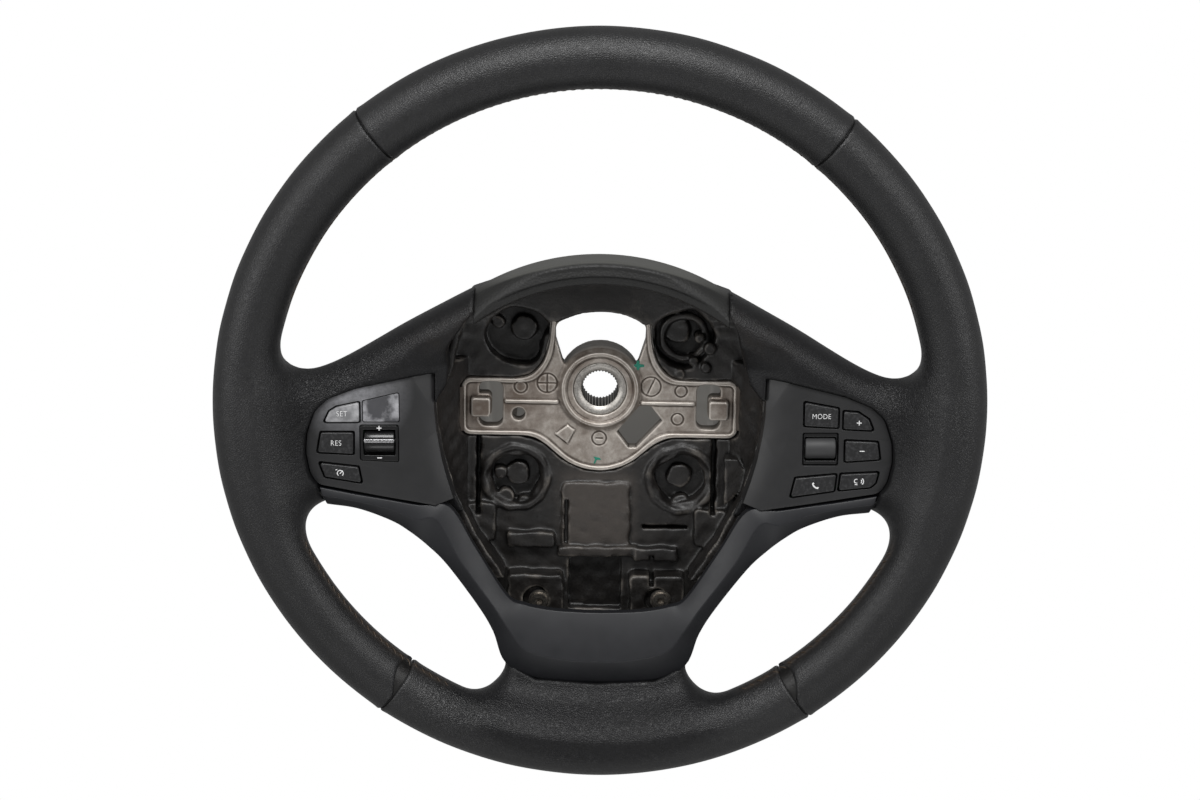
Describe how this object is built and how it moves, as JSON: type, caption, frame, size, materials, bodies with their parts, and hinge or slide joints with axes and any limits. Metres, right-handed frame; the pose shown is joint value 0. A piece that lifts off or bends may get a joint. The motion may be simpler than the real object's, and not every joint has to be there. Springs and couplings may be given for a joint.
{
  "type": "car steering wheel",
  "caption": "Leather-covered three-spoke car steering wheel without its airbag, with an open cast hub, switch pods, a lower bezel and a rear cover.",
  "frame": {"origin": "centre of the column bore at the hub's front face", "axes": "+Z towards twelve o'clock, +X to the driver's right, +Y along the column away from the driver, who sits at -Y"},
  "size_m": [0.38, 0.0965, 0.38],
  "materials": {
    "magnesium": "die cast, oxidised",
    "pu_foam": "moulded skin foam",
    "leather": "pebble grain, worn smooth on the rim",
    "bezel_plastic": "satin",
    "cover_plastic": "fine grain",
    "pod_plastic": "soft-touch satin",
    "key_plastic": "satin with pale legends",
    "gloss_black": "gloss",
    "worn_plastic": "worn grey",
    "steel": "zinc plated",
    "circuit_board": "solder mask",
    "silicone": "matt"
  },
  "bodies": {
    "wheel": {"armature": "magnesium", "hub_bush": "steel", "foam_core": "pu_foam", "leather_top": "leather", "leather_left": "leather", "leather_right": "leather", "leather_bottom": "leather", "lower_bezel": "bezel_plastic", "bezel_screw_left": "steel", "bezel_screw_right": "steel", "rear_cover": "cover_plastic", "rear_cover_screws": "steel", "left_pod_housing": "pod_plastic", "left_switch_board": "circuit_board", "left_key_mat": "silicone", "left_pod_screws": "steel", "left_blank_insert": "worn_plastic", "left_rocker_surround": "gloss_black", "right_pod_housing": "pod_plastic", "right_switch_board": "circuit_board", "right_key_mat": "silicone", "right_pod_screws": "steel"},
    "set_button": {"set_button": "key_plastic"},
    "resume_button": {"resume_button": "key_plastic"},
    "cruise_button": {"cruise_button": "key_plastic"},
    "mode_button": {"mode_button": "key_plastic"},
    "volume_up_button": {"volume_up_button": "key_plastic"},
    "volume_down_button": {"volume_down_button": "key_plastic"},
    "phone_button": {"phone_button": "key_plastic"},
    "voice_button": {"voice_button": "key_plastic"},
    "speed_rocker": {"speed_rocker": "gloss_black"},
    "roller_cradle": {"roller_cradle": "gloss_black"},
    "menu_roller": {"menu_roller": "gloss_black"}
  },
  "joints": [
    {"name": "set_button_press", "type": "slide", "parent": "wheel", "child": "set_button", "axis": [0, 1, 0], "range_m": [0, 0.0008], "stiffness_N_per_m": 1500, "springref_m": -0.0005},
    {"name": "resume_button_press", "type": "slide", "parent": "wheel", "child": "resume_button", "axis": [0, 1, 0], "range_m": [0, 0.0008], "stiffness_N_per_m": 1500, "springref_m": -0.0005},
    {"name": "cruise_button_press", "type": "slide", "parent": "wheel", "child": "cruise_button", "axis": [0, 1, 0], "range_m": [0, 0.0008], "stiffness_N_per_m": 1500, "springref_m": -0.0005},
    {"name": "mode_button_press", "type": "slide", "parent": "wheel", "child": "mode_button", "axis": [0, 1, 0], "range_m": [0, 0.0008], "stiffness_N_per_m": 1500, "springref_m": -0.0005},
    {"name": "volume_up_button_press", "type": "slide", "parent": "wheel", "child": "volume_up_button", "axis": [0, 1, 0], "range_m": [0, 0.0008], "stiffness_N_per_m": 1500, "springref_m": -0.0005},
    {"name": "volume_down_button_press", "type": "slide", "parent": "wheel", "child": "volume_down_button", "axis": [0, 1, 0], "range_m": [0, 0.0008], "stiffness_N_per_m": 1500, "springref_m": -0.0005},
    {"name": "phone_button_press", "type": "slide", "parent": "wheel", "child": "phone_button", "axis": [0, 1, 0], "range_m": [0, 0.0008], "stiffness_N_per_m": 1500, "springref_m": -0.0005},
    {"name": "voice_button_press", "type": "slide", "parent": "wheel", "child": "voice_button", "axis": [0, 1, 0], "range_m": [0, 0.0008], "stiffness_N_per_m": 1500, "springref_m": -0.0005},
    {"name": "speed_rocker_tilt", "type": "hinge", "parent": "wheel", "child": "speed_rocker", "pos_m": [-0.109, -0.03525, -0.017], "axis": [1, 0, 0], "range_deg": [-12, 12], "stiffness_Nm_per_rad": 0.03},
    {"name": "roller_cradle_press", "type": "slide", "parent": "wheel", "child": "roller_cradle", "axis": [0, 1, 0], "range_m": [0, 0.0008], "stiffness_N_per_m": 1500, "springref_m": -0.0005},
    {"name": "menu_roller_turn", "type": "hinge", "parent": "roller_cradle", "child": "menu_roller", "pos_m": [0.109, -0.03525, -0.0206], "axis": [1, 0, 0], "continuous": true}
  ]
}
